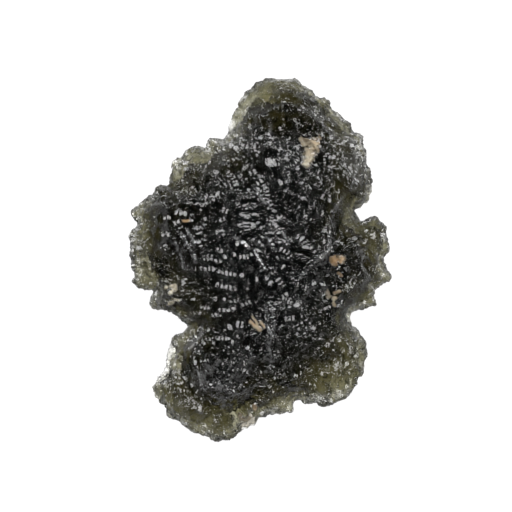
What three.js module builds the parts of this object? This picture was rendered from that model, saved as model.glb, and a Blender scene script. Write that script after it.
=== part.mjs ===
// A moldavite: one natural piece of bottle-green impact glass, lying flat on its blunter side.
// It is a lens-shaped slab with a deeply notched outline: a crown, a right ear, two lower lobes and a
// broad left shoulder. The edge is thin and blunt all round. Etching has cut hollows, pits and rows of
// parallel furrows into both sides, and left sharp crests between them.
// Millimetres, +Z up, +Y towards the crown, origin under the stone's middle on the surface it lies on.
import * as THREE from "three";
import { ConvexHull } from "three/addons/math/ConvexHull.js";

// Driving dimensions
const RIM_HEIGHT = 3.9; // the edge's middle above the surface that the stone lies on
const RIM_WAVES = [0.55, 0.3]; // long and short waves of the edge's height along the outline
const EDGE = { half: 1.05, vary: 0.2, round: 0.35 }; // half the thickness of the blunt edge
const DOME = { height: 3.6, reach: 4.2, power: 1.4 }; // top side above the edge
const KEEL = { height: 3.6, reach: 4.0, power: 1.35 }; // underside below the edge
const LEAST_WALL = 1.2; // the thinnest that scooping leaves the glass, away from the edge
const TOP_SHARE = 0.6; // of a hollow's depth: the rest is cut from the underside
const BROAD_CELL = { size: 5.2, depth: 0.75 }; // wide shallow scoops
const TOP_CELL = { size: 1.9, depth: 0.55 }; // scoops between the named pits
const SCOOP_REACH = 0.77; // of a cell's size, where a scoop runs out
const UNDER_CELL = { size: 3.1, depth: 0.95, worn: 0.4 }; // worn: the share of each scoop rubbed away
const WORN_FACETS = [
  { x: -0.4, y: 0.6, rx: 2.3, ry: 1.7, turn: 25 }, // flat spot under the middle
  { x: 2.6, y: 9.6, rx: 1.1, ry: 0.8, turn: -20 }, // under the crown
  { x: -5.0, y: 5.4, rx: 0.9, ry: 0.7, turn: 0 }, // under the left shoulder
];
const QUIET = 1.9; // scoops keep off a pit or furrow, out to this many times its half-width
const WALL_FADE = 0.6; // scoops fade out over this distance from the outline

// Mesh spacing
const OUTLINE_STEPS = 300;
const TOP = { step: 0.43, inset: 0.26, keepOff: 0.19 }; // inset: the ring of vertices behind the edge
const UNDER = { step: 0.7, inset: 0.3, keepOff: 0.24 };
const LINE_STEP = 0.42; // between vertices along a crest or furrow, and round a pit
const CLOSEST = 0.8; // vertices come no nearer to each other than this share of their step
const JITTER = 0.3; // share of a step that filler vertices are moved by
const FIELD = { x: 14, y: 19 }; // half-size of the filler's rows, a little over the stone's own

// The outline seen from above, clockwise from the crown's upper left corner.
const OUTLINE = [
  // crown
  [-1.0, 17.05], [-0.4, 17.65], [0.2, 17.95], [0.6, 18.1], [1.6, 18.12], [2.6, 18.17], [2.95, 18.02],
  [3.8, 18.02], [4.1, 17.85], [4.4, 17.4], [4.65, 17.07], [5.1, 16.9], [5.5, 16.5], [5.9, 16.25],
  [6.8, 15.95], [7.25, 15.05], [8.0, 14.6], [8.4, 14.2], [8.9, 13.85], [9.2, 13.1], [9.6, 12.8],
  [10.1, 12.6], [10.35, 11.9], [10.35, 11.4], [10.65, 11.05], [10.65, 10.0], [10.9, 9.4], [11.1, 8.3],
  [11.15, 7.4], [11.05, 6.7], [10.8, 5.85], [10.2, 5.5], [9.8, 5.15], [9.4, 4.9],
  // upper right notch and right ear
  [9.5, 4.7], [9.8, 4.4], [10.0, 4.1], [10.25, 4.02], [10.6, 4.14], [10.95, 4.27], [11.4, 4.27],
  [11.9, 4.15], [12.4, 3.55], [12.67, 3.5], [12.77, 3.0], [12.7, 2.4], [12.9, 1.3], [13.05, 0.9],
  [12.6, 0.5], [12.5, 0.1], [12.8, -0.8], [13.17, -1.58], [13.0, -2.0], [12.5, -2.25], [11.9, -2.65],
  [11.5, -2.95], [11.4, -3.35], [11.6, -4.1], [11.58, -4.65], [11.0, -4.67], [10.2, -4.88], [9.5, -5.0],
  // lower right notch and lobe
  [9.15, -5.2], [8.9, -5.6], [8.9, -5.95], [9.08, -6.35], [9.4, -6.7], [9.85, -7.1], [10.1, -7.65],
  [10.6, -8.13], [10.63, -8.6], [10.78, -9.15], [10.68, -9.7], [10.48, -10.15], [10.25, -11.4],
  [9.75, -11.93], [9.77, -12.45], [9.2, -13.15], [8.65, -13.8], [7.75, -14.2], [7.4, -14.5],
  [6.45, -14.65], [5.7, -14.35], [4.58, -14.35],
  // small bite in the lower edge, then the lower left lobe
  [4.2, -13.98], [3.8, -13.98], [3.45, -14.15], [3.23, -14.5], [3.23, -15.03], [2.4, -15.27],
  [1.95, -15.47], [1.5, -15.38], [0.8, -15.4], [0.45, -15.63], [-0.25, -15.86], [-0.75, -16.6],
  [-1.65, -16.9], [-2.4, -17.6], [-3.1, -18.0], [-4.25, -18.05], [-4.45, -18.18], [-4.9, -17.7],
  [-5.7, -17.3], [-6.1, -17.28], [-7.0, -17.0], [-7.8, -16.45], [-8.3, -16.05], [-9.0, -15.8],
  [-9.25, -15.45], [-9.37, -15.05], [-10.0, -13.95], [-10.6, -13.1], [-10.75, -12.7], [-10.65, -12.35],
  [-10.05, -11.75], [-9.55, -10.9], [-9.32, -10.0], [-9.15, -9.2], [-8.92, -8.0], [-8.7, -7.65],
  [-8.0, -7.38], [-7.6, -7.1], [-7.2, -6.75],
  // left notch and left shoulder
  [-7.3, -6.5], [-7.65, -6.18], [-7.9, -5.9], [-8.7, -5.28], [-9.0, -5.1], [-10.0, -4.95],
  [-10.5, -4.93], [-10.85, -4.7], [-11.05, -4.3], [-11.05, -3.9], [-10.85, -3.55], [-10.55, -3.25],
  [-10.8, -3.02], [-11.8, -2.95], [-12.2, -2.9], [-12.5, -2.6], [-12.75, -2.1], [-12.58, -1.45],
  [-12.75, -0.6], [-12.92, 0.6], [-13.02, 1.7], [-12.95, 2.8], [-12.8, 3.1], [-12.4, 3.4],
  [-12.4, 3.95], [-12.65, 4.2], [-12.77, 4.55], [-12.68, 4.9], [-12.0, 5.65], [-11.7, 6.1],
  [-11.0, 6.35], [-10.7, 6.55], [-10.45, 7.1], [-10.3, 7.42], [-9.4, 7.38], [-9.15, 7.6],
  [-8.92, 8.4], [-8.75, 9.6], [-8.65, 9.95], [-8.0, 10.15], [-7.5, 10.9], [-7.2, 11.27],
  [-6.65, 11.33], [-6.45, 11.45], [-6.0, 11.25], [-5.4, 11.2], [-5.37, 11.7], [-5.2, 12.15],
  [-4.6, 12.18], [-4.2, 12.02], [-3.7, 12.1], [-3.3, 12.35], [-3.05, 12.7], [-3.0, 13.7],
  [-2.85, 14.25], [-2.35, 15.3], [-2.38, 15.7], [-1.8, 16.2], [-1.3, 16.9],
];

// Broad swellings of the top side: centre, half-widths, turn in degrees and height.
const SWELLS = [
  { x: -1.5, y: 0.5, rx: 5.5, ry: 7.5, turn: 0, height: 0.9 }, // main mass
  { x: 2.8, y: 10.6, rx: 4.6, ry: 2.6, turn: -10, height: 1.0 }, // below the crown
  { x: -3.4, y: -10.4, rx: 3.0, ry: 3.2, turn: 20, height: 0.8 }, // above the lower left lobe
  { x: 6.5, y: -2.0, rx: 3.0, ry: 3.5, turn: 0, height: 0.5 }, // root of the right ear
  { x: -7.0, y: -4.6, rx: 2.4, ry: 1.4, turn: -14, height: 1.3 }, // lip below the left shoulder
  { x: -8.8, y: 6.4, rx: 1.6, ry: 1.9, turn: 0, height: 0.9 }, // upper end of the left shoulder
  { x: 9.0, y: -3.4, rx: 1.6, ry: 1.5, turn: 0, height: 0.5 }, // lower side of the right ear
];

// Crests that stand up from the top side: half-width, height and the line that each one follows.
const CRESTS = [
  // ledge under the crown
  { half: 0.75, height: 0.65, line: [[-1.4, 14.3], [0.5, 14.8], [2.5, 15.0], [4.5, 14.7], [6.2, 13.8]] },
  // root of the right ear, and the ridge down to the lower left lobe
  { half: 0.7, height: 0.6, line: [[8.1, 6.0], [7.5, 5.0], [7.1, 3.2], [6.8, 0.8], [5.0, -0.2]] },
  { half: 0.7, height: 0.6, line: [[0.2, -12.2], [-2.0, -13.0], [-3.6, -14.0], [-4.2, -16.4]] },
  // flow lines along the right shoulder and the lower left margin
  { half: 0.4, height: 0.3, line: [[6.0, 14.9], [7.2, 13.6], [8.2, 12.0]] },
  { half: 0.4, height: 0.3, line: [[7.2, 14.8], [8.2, 13.5], [9.2, 11.9]] },
  { half: 0.4, height: 0.3, line: [[-9.5, -12.8], [-8.4, -14.6], [-6.6, -15.9], [-4.8, -16.8]] },
  { half: 0.4, height: 0.3, line: [[-8.4, -12.4], [-7.4, -13.9], [-5.9, -14.9]] },
];

// Wide hollows that leave the glass thin: how much of its thickness is gone, from both sides together.
const HOLLOWS = [
  { x: 2.4, y: 16.0, rx: 3.9, ry: 2.2, turn: -6, depth: 0.3 }, // crown
  { x: -1.6, y: 14.2, rx: 1.4, ry: 3.0, turn: -22, depth: 0.5 }, // crown's left margin
  { x: 7.4, y: 13.8, rx: 3.2, ry: 1.4, turn: -42, depth: 0.2 }, // crown's right margin
  { x: 10.3, y: 9.0, rx: 1.6, ry: 4.0, turn: 4, depth: 0.2 }, // right margin
  { x: 9.4, y: 6.9, rx: 1.4, ry: 2.2, turn: -6, depth: 0.8 },
  { x: 8.4, y: 4.6, rx: 1.1, ry: 1.4, turn: -12, depth: 0.4 }, // ledge above the right ear
  { x: 7.0, y: -11.0, rx: 4.0, ry: 3.4, turn: 10, depth: 1.1 }, // lower right lobe
  { x: 4.0, y: -11.0, rx: 2.6, ry: 1.5, turn: 10, depth: 0.7 },
  { x: 1.9, y: -14.1, rx: 2.4, ry: 1.6, turn: 0, depth: 0.2 }, // lower edge
  { x: -8.2, y: -11.8, rx: 2.2, ry: 3.4, turn: 15, depth: 0.5 }, // lower left lobe
  { x: -8.4, y: -8.8, rx: 1.3, ry: 2.4, turn: 8, depth: 0.7 },
  { x: -6.4, y: -16.2, rx: 3.2, ry: 1.6, turn: -32, depth: 0.3 },
  { x: -3.0, y: -14.8, rx: 1.7, ry: 1.5, turn: 0, depth: 0.9 },
  { x: -11.2, y: -0.8, rx: 1.9, ry: 3.4, turn: 6, depth: 0.6 }, // left shoulder
  { x: -11.8, y: 4.2, rx: 1.5, ry: 2.3, turn: -30, depth: 0.3 },
  { x: -8.4, y: 8.3, rx: 1.4, ry: 2.2, turn: -15, depth: 0.5 },
  { x: -5.8, y: 10.4, rx: 3.2, ry: 1.5, turn: 14, depth: 0.9 }, // above the shoulder
  { x: -5.6, y: 6.4, rx: 1.8, ry: 0.9, turn: 12, depth: 0.6 },
];

// Furrows of the top side: half-width, depth and the line that each one follows.
const FURROWS = [
  // across the left shoulder, falling slightly to the right
  { half: 0.62, depth: 0.5, line: [[-10.0, 4.5], [-8.8, 4.8], [-7.2, 5.1]] },
  { half: 0.55, depth: 0.45, line: [[-10.1, 3.2], [-8.6, 3.2]] },
  { half: 0.6, depth: 0.5, line: [[-8.0, 4.0], [-7.2, 3.9], [-5.6, 3.7]] },
  { half: 0.5, depth: 0.35, line: [[-5.6, 2.4], [-4.4, 2.2]] },
  { half: 0.66, depth: 0.55, line: [[-6.8, 1.0], [-5.0, 0.8], [-3.4, 0.4]] },
  { half: 0.7, depth: 0.62, line: [[-6.9, -0.4], [-4.7, -0.5], [-3.0, -0.8], [-1.3, -1.2]] },
  { half: 0.6, depth: 0.5, line: [[-7.4, -1.7], [-5.6, -1.8]] },
  { half: 0.66, depth: 0.55, line: [[-5.2, -1.9], [-3.8, -2.0], [-2.2, -2.4]] },
  { half: 0.6, depth: 0.5, line: [[-8.4, -3.2], [-7.0, -3.2], [-5.8, -3.2]] },
  { half: 0.64, depth: 0.52, line: [[-5.2, -3.2], [-3.6, -3.4], [-1.4, -3.6]] },
  { half: 0.66, depth: 0.55, line: [[-8.6, -4.5], [-7.2, -4.8], [-5.8, -4.4], [-4.6, -4.3]] },
  { half: 0.6, depth: 0.5, line: [[-4.0, -4.6], [-2.4, -4.6], [-0.8, -4.1]] },
  { half: 0.6, depth: 0.5, line: [[-6.6, -6.0], [-5.0, -5.8], [-3.2, -5.9], [-1.6, -5.6]] },
  { half: 0.7, depth: 0.6, line: [[-5.8, -7.5], [-4.6, -7.2], [-3.0, -7.2], [-1.8, -7.8], [-1.0, -8.6]] },
  { half: 0.6, depth: 0.5, line: [[-7.0, -8.7], [-5.6, -8.8]] },
  { half: 0.7, depth: 0.6, line: [[-6.6, -10.4], [-5.0, -10.6]] },
  // down the middle, from the upper left to the lower right
  { half: 0.55, depth: 0.45, line: [[-3.2, 9.2], [-2.4, 8.0], [-2.2, 6.8]] },
  { half: 0.55, depth: 0.45, line: [[-1.2, 9.4], [0.2, 8.1], [0.8, 6.8]] },
  { half: 0.55, depth: 0.45, line: [[0.9, 6.1], [1.4, 4.6], [1.8, 3.1]] },
  { half: 0.55, depth: 0.45, line: [[1.9, 2.4], [2.3, 1.3], [3.1, 0.0]] },
  { half: 0.55, depth: 0.45, line: [[-2.2, 6.0], [-1.7, 4.6], [-1.2, 3.0]] },
  { half: 0.55, depth: 0.4, line: [[-0.8, 6.2], [-0.3, 4.6], [0.0, 3.2]] },
  { half: 0.5, depth: 0.4, line: [[-0.8, 1.2], [0.0, 0.0], [0.8, -1.2]] },
  { half: 0.5, depth: 0.4, line: [[0.6, 0.6], [1.5, -0.6], [2.4, -2.2]] },
  // across the right ear and the lower right
  { half: 0.55, depth: 0.45, line: [[7.6, 1.9], [8.8, 2.3], [9.8, 2.6]] },
  { half: 0.55, depth: 0.45, line: [[8.4, 0.4], [9.6, 0.2]] },
  { half: 0.55, depth: 0.45, line: [[8.2, -2.0], [9.8, -2.1]] },
  { half: 0.5, depth: 0.4, line: [[2.0, -5.3], [3.4, -5.2], [4.6, -5.5]] },
  { half: 0.5, depth: 0.4, line: [[1.0, -5.2], [1.1, -8.5], [0.9, -12.0]] },
];

// Round and oval pits of the top side.
const PITS = [
  { x: 2.0, y: 13.2, rx: 1.5, ry: 0.75, turn: 8, depth: 0.9 }, // deep pair below the crown
  { x: 4.9, y: 12.7, rx: 1.05, ry: 0.7, turn: -4, depth: 0.85 },
  { x: 0.7, y: 12.9, rx: 0.7, ry: 0.7, turn: 0, depth: 0.5 },
  { x: 3.0, y: 12.0, rx: 0.8, ry: 0.6, turn: 0, depth: 0.45 },
  { x: 4.7, y: 10.8, rx: 0.8, ry: 1.4, turn: -8, depth: 0.5 }, // the largest clay pocket
  { x: 1.0, y: 9.6, rx: 0.9, ry: 0.9, turn: 0, depth: 0.35 },
  { x: 7.7, y: 8.1, rx: 1.25, ry: 1.1, turn: 0, depth: 0.5 },
  { x: 3.4, y: 8.0, rx: 0.8, ry: 1.0, turn: 20, depth: 0.35 },
  { x: 5.6, y: 6.2, rx: 1.1, ry: 0.8, turn: 10, depth: 0.45 },
  { x: 3.0, y: 5.6, rx: 0.9, ry: 0.9, turn: 0, depth: 0.35 },
  { x: 6.4, y: 4.8, rx: 0.8, ry: 0.8, turn: 0, depth: 0.35 },
  { x: 4.2, y: 3.7, rx: 0.9, ry: 0.7, turn: 0, depth: 0.35 },
  { x: 3.9, y: 1.6, rx: 1.1, ry: 0.9, turn: -30, depth: 0.45 },
  { x: 5.8, y: 1.6, rx: 0.9, ry: 0.9, turn: 0, depth: 0.4 },
  { x: 5.2, y: -0.6, rx: 0.8, ry: 0.8, turn: 0, depth: 0.4 },
  { x: 7.7, y: -0.1, rx: 0.85, ry: 0.65, turn: 0, depth: 0.5 }, // clay pocket in the ear
  { x: 6.4, y: -1.6, rx: 0.8, ry: 0.8, turn: 0, depth: 0.4 },
  { x: 6.9, y: -3.3, rx: 0.9, ry: 0.6, turn: -40, depth: 0.45 },
  { x: 11.2, y: 3.1, rx: 1.0, ry: 0.9, turn: 0, depth: 0.5 },
  { x: 2.2, y: -0.7, rx: 0.6, ry: 0.6, turn: 0, depth: 0.3 },
  { x: 3.6, y: -2.0, rx: 0.9, ry: 0.8, turn: 0, depth: 0.4 },
  { x: 0.9, y: -2.2, rx: 0.7, ry: 0.7, turn: 0, depth: 0.35 },
  { x: 5.2, y: -3.6, rx: 0.8, ry: 0.7, turn: 0, depth: 0.35 },
  { x: 1.0, y: -3.8, rx: 0.8, ry: 0.7, turn: 0, depth: 0.35 },
  { x: 3.2, y: -3.8, rx: 0.8, ry: 0.7, turn: 0, depth: 0.35 },
  { x: 7.4, y: -5.4, rx: 0.8, ry: 0.8, turn: 0, depth: 0.35 },
  { x: -0.2, y: -6.4, rx: 0.7, ry: 0.8, turn: 0, depth: 0.5 }, // clay pocket
  { x: 1.6, y: -6.8, rx: 0.8, ry: 0.8, turn: 0, depth: 0.35 },
  { x: 3.4, y: -7.2, rx: 0.9, ry: 0.7, turn: 15, depth: 0.35 },
  { x: 5.4, y: -7.0, rx: 0.9, ry: 0.8, turn: 0, depth: 0.4 },
  { x: 4.6, y: -9.0, rx: 1.0, ry: 0.8, turn: 0, depth: 0.4 },
  { x: 2.2, y: -9.0, rx: 1.0, ry: 0.9, turn: 0, depth: 0.4 },
  { x: -1.4, y: -10.3, rx: 0.7, ry: 0.9, turn: 0, depth: 0.4 },
  { x: -3.4, y: -9.4, rx: 1.0, ry: 0.8, turn: 0, depth: 0.35 },
  { x: 0.3, y: -10.6, rx: 0.9, ry: 0.9, turn: 0, depth: 0.4 },
  { x: 2.4, y: -11.2, rx: 1.0, ry: 0.8, turn: 0, depth: 0.4 },
  { x: -3.2, y: -12.2, rx: 1.1, ry: 0.8, turn: 10, depth: 0.35 },
  { x: -0.8, y: -12.9, rx: 1.0, ry: 0.8, turn: 20, depth: 0.4 },
  { x: -3.7, y: -14.6, rx: 0.9, ry: 0.8, turn: 0, depth: 0.4 },
];

const rad = THREE.MathUtils.degToRad;

// ---- The outline as one closed loop of evenly spaced points ----
const curve = new THREE.CatmullRomCurve3(
  OUTLINE.map(([x, y]) => new THREE.Vector3(x, y, 0)),
  true,
  "centripetal",
);
curve.arcLengthDivisions = OUTLINE_STEPS * 10;
const loop = curve
  .getSpacedPoints(OUTLINE_STEPS)
  .slice(0, OUTLINE_STEPS)
  .map((p) => [p.x, p.y]);

function distanceToSegment(x, y, [ax, ay], [bx, by]) {
  const [dx, dy] = [bx - ax, by - ay];
  const along = ((x - ax) * dx + (y - ay) * dy) / (dx * dx + dy * dy || 1);
  const t = THREE.MathUtils.clamp(along, 0, 1);
  return Math.hypot(x - ax - t * dx, y - ay - t * dy);
}

// Distance in from the outline, and 0 outside it.
function depthInside(x, y) {
  let inside = false;
  let nearest = Infinity;
  for (let i = 0; i < loop.length; i++) {
    const a = loop[i];
    const b = loop[(i + 1) % loop.length];
    nearest = Math.min(nearest, distanceToSegment(x, y, a, b));
    if (a[1] > y !== b[1] > y && x < a[0] + ((y - a[1]) / (b[1] - a[1])) * (b[0] - a[0]))
      inside = !inside;
  }
  return inside ? nearest : 0;
}

// ---- Relief ----

// A repeatable number from 0 to 1 for a pair of whole numbers and a seed.
function random(i, j, seed) {
  const s = Math.sin(i * 127.1 + j * 311.7 + seed * 74.7) * 43758.5453;
  return s - Math.floor(s);
}

// Square of the distance from the centre of an ellipse, where its edge is 1.
function ellipse({ x: cx, y: cy, rx, ry, turn }, x, y) {
  const [c, s] = [Math.cos(rad(turn)), Math.sin(rad(turn))];
  const [dx, dy] = [x - cx, y - cy];
  return ((dx * c + dy * s) / rx) ** 2 + ((dy * c - dx * s) / ry) ** 2;
}

const thinning = (x, y) =>
  HOLLOWS.reduce((sum, hollow) => sum + hollow.depth * Math.max(0, 1 - ellipse(hollow, x, y)), 0);

function fromLine(line, x, y) {
  let nearest = Infinity;
  for (let i = 1; i < line.length; i++)
    nearest = Math.min(nearest, distanceToSegment(x, y, line[i - 1], line[i]));
  return nearest;
}

const ridge = ({ half, height, line }, x, y) =>
  height * Math.max(0, 1 - (fromLine(line, x, y) / half) ** 2);

// Touching scoops over a whole side, one in each cell of a jumbled grid: 1 at the middle of each
// scoop and 0 where it has run out, with a sharp crest where two scoops meet.
function cells({ size }, seed, x, y) {
  const [u, v] = [x / size, y / size];
  let nearest = Infinity;
  for (let i = Math.floor(u) - 1; i <= Math.floor(u) + 1; i++)
    for (let j = Math.floor(v) - 1; j <= Math.floor(v) + 1; j++) {
      const [cx, cy] = [i + random(i, j, seed), j + random(i, j, seed + 1)];
      nearest = Math.min(nearest, (u - cx) ** 2 + (v - cy) ** 2);
    }
  return Math.max(0, 1 - nearest / SCOOP_REACH ** 2);
}

const rise = ({ height, reach, power }, d) => height * (1 - Math.exp(-((d / reach) ** power)));
const fade = (d) => 1 - Math.exp(-((d / WALL_FADE) ** 2));
const edge = (x, y, d) =>
  (EDGE.half + EDGE.vary * Math.sin(0.9 * x + 0.7 * y)) * (1 - Math.exp(-d / EDGE.round));
const rimHeight = (x, y) =>
  RIM_HEIGHT +
  RIM_WAVES[0] * Math.sin(0.33 * x + 0.8) * Math.cos(0.29 * y) +
  RIM_WAVES[1] * Math.sin(1.1 * x + 2.0) * Math.cos(0.9 * y + 1.0);

function underside(x, y, d) {
  const thinned = (1 - TOP_SHARE) * thinning(x, y) * fade(d);
  const keel = rimHeight(x, y) - edge(x, y, d) - rise(KEEL, d) + thinned;
  const rough = Math.min(1, ...WORN_FACETS.map((f) => Math.max(0, ellipse(f, x, y) - 1)));
  const etched = (cells(UNDER_CELL, 5, x, y) - UNDER_CELL.worn) * UNDER_CELL.depth * rough;
  return Math.max(0, Math.max(0, keel) + etched * fade(d));
}

function topside(x, y, d) {
  let z = rimHeight(x, y) + edge(x, y, d) + rise(DOME, d);
  for (const swell of SWELLS) z += swell.height * Math.exp(-ellipse(swell, x, y));
  for (const crest of CRESTS) z += ridge(crest, x, y) * fade(d);
  z -= TOP_SHARE * thinning(x, y) * fade(d);
  let cut = 0;
  let quiet = 0;
  for (const pit of PITS) {
    const q2 = ellipse(pit, x, y);
    cut = Math.max(cut, pit.depth * (1 - q2));
    quiet = Math.max(quiet, 1 - q2 / QUIET ** 2);
  }
  for (const furrow of FURROWS) {
    const q = fromLine(furrow.line, x, y) / furrow.half;
    cut = Math.max(cut, furrow.depth * (1 - q * q));
    quiet = Math.max(quiet, 1 - (q / QUIET) ** 2);
  }
  cut = Math.max(cut, TOP_CELL.depth * cells(TOP_CELL, 11, x, y) * (1 - quiet));
  z -= (cut + BROAD_CELL.depth * cells(BROAD_CELL, 3, x, y)) * fade(d);
  const wall = Math.min(LEAST_WALL, 2 * edge(x, y, d));
  return Math.max(z, underside(x, y, d) + wall);
}

// ---- Vertices: the relief's own lines first, then evenly spaced filler ----

// Keeps points that lie inside the outline and no nearer to each other than their own gap.
class Scatter {
  constructor(keepOff) {
    this.keepOff = keepOff;
    this.points = [];
  }
  add(x, y, gap) {
    if (depthInside(x, y) < this.keepOff) return;
    if (this.points.some(([px, py]) => Math.hypot(px - x, py - y) < gap)) return;
    this.points.push([x, y]);
  }
}

function alongLine(scatter, { half, line }) {
  for (let i = 1; i < line.length; i++) {
    const [[ax, ay], [bx, by]] = [line[i - 1], line[i]];
    const length = Math.hypot(bx - ax, by - ay);
    const [nx, ny] = [-(by - ay) / length, (bx - ax) / length];
    const steps = Math.max(1, Math.round(length / LINE_STEP));
    for (let k = 0; k <= steps; k++)
      for (const side of [0, -half, half]) {
        const x = ax + ((bx - ax) * k) / steps + nx * side;
        const y = ay + ((by - ay) * k) / steps + ny * side;
        scatter.add(x, y, LINE_STEP * CLOSEST);
      }
  }
}

function roundPit(scatter, { x, y, rx, ry, turn }) {
  const [c, s] = [Math.cos(rad(turn)), Math.sin(rad(turn))];
  const count = Math.round((Math.PI * (rx + ry)) / LINE_STEP);
  scatter.add(x, y, LINE_STEP * CLOSEST);
  for (let k = 0; k < count; k++) {
    const a = (2 * Math.PI * k) / count;
    const [u, v] = [rx * Math.cos(a), ry * Math.sin(a)];
    scatter.add(x + u * c - v * s, y + u * s + v * c, LINE_STEP * CLOSEST);
  }
}

// Vertices a little in from the outline, so that the edge's rounding has its own row of faces.
function insetRing(scatter, { inset, step }) {
  loop.forEach(([x, y], i) => {
    const [px, py] = loop.at(i - 1);
    const [qx, qy] = loop[(i + 1) % loop.length];
    const length = Math.hypot(qx - px, qy - py);
    scatter.add(x + ((qy - py) / length) * inset, y - ((qx - px) / length) * inset, step * 0.6);
  });
}

// Staggered rows of slightly jumbled vertices wherever there is still room.
function filler(scatter, { step }, seed) {
  const rowGap = (step * Math.sqrt(3)) / 2;
  const rows = Math.ceil(FIELD.y / rowGap);
  const columns = Math.ceil(FIELD.x / step);
  for (let j = -rows; j <= rows; j++)
    for (let i = -columns; i <= columns; i++) {
      const stagger = j % 2 ? 0.5 : 0;
      const x = (i + stagger + JITTER * (random(i, j, seed) - 0.5)) * step;
      const y = (j + JITTER * (random(i, j, seed + 1) - 0.5)) * rowGap;
      scatter.add(x, y, step * CLOSEST);
    }
}

// ---- Triangles between points: the underside of the hull of the points lifted onto a paraboloid ----
function triangulate(points) {
  const lifted = points.map(([x, y]) => new THREE.Vector3(x, y, x * x + y * y));
  const index = new Map(lifted.map((p, i) => [p, i]));
  const faces = [];
  for (const face of new ConvexHull().setFromPoints(lifted).faces) {
    if (face.normal.z > -1e-9) continue;
    const corners = [0, 1, 2].map((k) => index.get(face.getEdge(k).head().point));
    const [a, b, c] = corners.map((i) => points[i]);
    if (depthInside((a[0] + b[0] + c[0]) / 3, (a[1] + b[1] + c[1]) / 3) === 0) continue;
    const turnsLeft = (b[0] - a[0]) * (c[1] - a[1]) - (b[1] - a[1]) * (c[0] - a[0]) > 0;
    faces.push(turnsLeft ? corners : corners.reverse());
  }
  return faces;
}

// ---- The stone: two sheets of faces, top and underside, that share the outline's vertices ----
function topVertices() {
  const top = new Scatter(TOP.keepOff);
  insetRing(top, TOP);
  [...CRESTS, ...FURROWS].forEach((ridge) => alongLine(top, ridge));
  [...PITS, ...HOLLOWS].forEach((pit) => roundPit(top, pit));
  filler(top, TOP, 21);
  return top.points;
}

function undersideVertices() {
  const under = new Scatter(UNDER.keepOff);
  insetRing(under, UNDER);
  WORN_FACETS.forEach((facet) => roundPit(under, facet));
  filler(under, UNDER, 31);
  return under.points;
}

function stoneGeometry() {
  const positions = loop.map(([x, y]) => [x, y, rimHeight(x, y)]);
  const faces = [];
  const addSheet = (points, height, facesDown) => {
    const offset = positions.length - loop.length;
    for (const [x, y] of points) positions.push([x, y, height(x, y, depthInside(x, y))]);
    for (const face of triangulate([...loop, ...points])) {
      const corners = face.map((i) => (i < loop.length ? i : i + offset));
      faces.push(facesDown ? corners.reverse() : corners);
    }
  };
  addSheet(topVertices(), topside, false);
  addSheet(undersideVertices(), underside, true);

  const geometry = new THREE.BufferGeometry();
  geometry.setAttribute("position", new THREE.Float32BufferAttribute(positions.flat(), 3));
  geometry.setIndex(faces.flat());
  geometry.computeBoundingBox();
  const middle = geometry.boundingBox.getCenter(new THREE.Vector3());
  geometry.translate(-middle.x, -middle.y, -geometry.boundingBox.min.z);
  geometry.computeVertexNormals();
  return geometry;
}

const glass = new THREE.MeshStandardMaterial({ color: 0x24251e, roughness: 0.25, metalness: 0 });
const stone = new THREE.Mesh(stoneGeometry(), glass);
stone.name = "moldavite";

const moldavite = new THREE.Group();
moldavite.add(stone);

export default moldavite;
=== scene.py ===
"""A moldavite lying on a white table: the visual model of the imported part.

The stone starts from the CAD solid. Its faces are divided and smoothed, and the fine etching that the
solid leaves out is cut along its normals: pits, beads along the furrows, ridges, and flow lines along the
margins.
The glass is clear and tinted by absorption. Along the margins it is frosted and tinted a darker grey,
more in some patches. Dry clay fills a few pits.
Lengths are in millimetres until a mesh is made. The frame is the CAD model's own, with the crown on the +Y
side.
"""

import math

import bpy
import numpy as np
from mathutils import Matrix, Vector
from mathutils.kdtree import KDTree


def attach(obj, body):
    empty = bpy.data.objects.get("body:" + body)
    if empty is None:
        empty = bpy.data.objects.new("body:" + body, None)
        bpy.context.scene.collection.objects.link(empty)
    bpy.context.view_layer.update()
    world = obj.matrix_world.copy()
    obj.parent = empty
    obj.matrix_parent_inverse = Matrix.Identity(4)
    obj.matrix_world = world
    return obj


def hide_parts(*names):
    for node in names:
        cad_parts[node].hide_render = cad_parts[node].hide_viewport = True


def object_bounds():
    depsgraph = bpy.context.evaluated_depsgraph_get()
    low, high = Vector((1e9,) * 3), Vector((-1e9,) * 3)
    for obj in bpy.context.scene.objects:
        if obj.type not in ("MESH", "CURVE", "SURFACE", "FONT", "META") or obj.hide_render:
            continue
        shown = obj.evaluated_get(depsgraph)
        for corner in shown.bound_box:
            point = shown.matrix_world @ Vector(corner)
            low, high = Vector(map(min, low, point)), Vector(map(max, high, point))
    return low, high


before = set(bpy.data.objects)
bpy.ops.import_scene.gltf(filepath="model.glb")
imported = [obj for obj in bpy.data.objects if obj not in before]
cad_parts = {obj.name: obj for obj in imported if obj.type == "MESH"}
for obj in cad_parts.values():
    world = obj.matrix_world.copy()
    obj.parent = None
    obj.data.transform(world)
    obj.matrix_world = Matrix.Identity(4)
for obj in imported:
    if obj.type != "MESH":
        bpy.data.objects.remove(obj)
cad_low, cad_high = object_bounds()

MM = 0.001

# The camera looks straight down at a square of this width, measured at the height of the stone's edge.
VIEW_WIDTH = 51.2
LENS = 300.0
SENSOR = 36.0
EDGE_HEIGHT = 3.9
AIM = (-0.475, 0.405)  # the middle of the view

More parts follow.
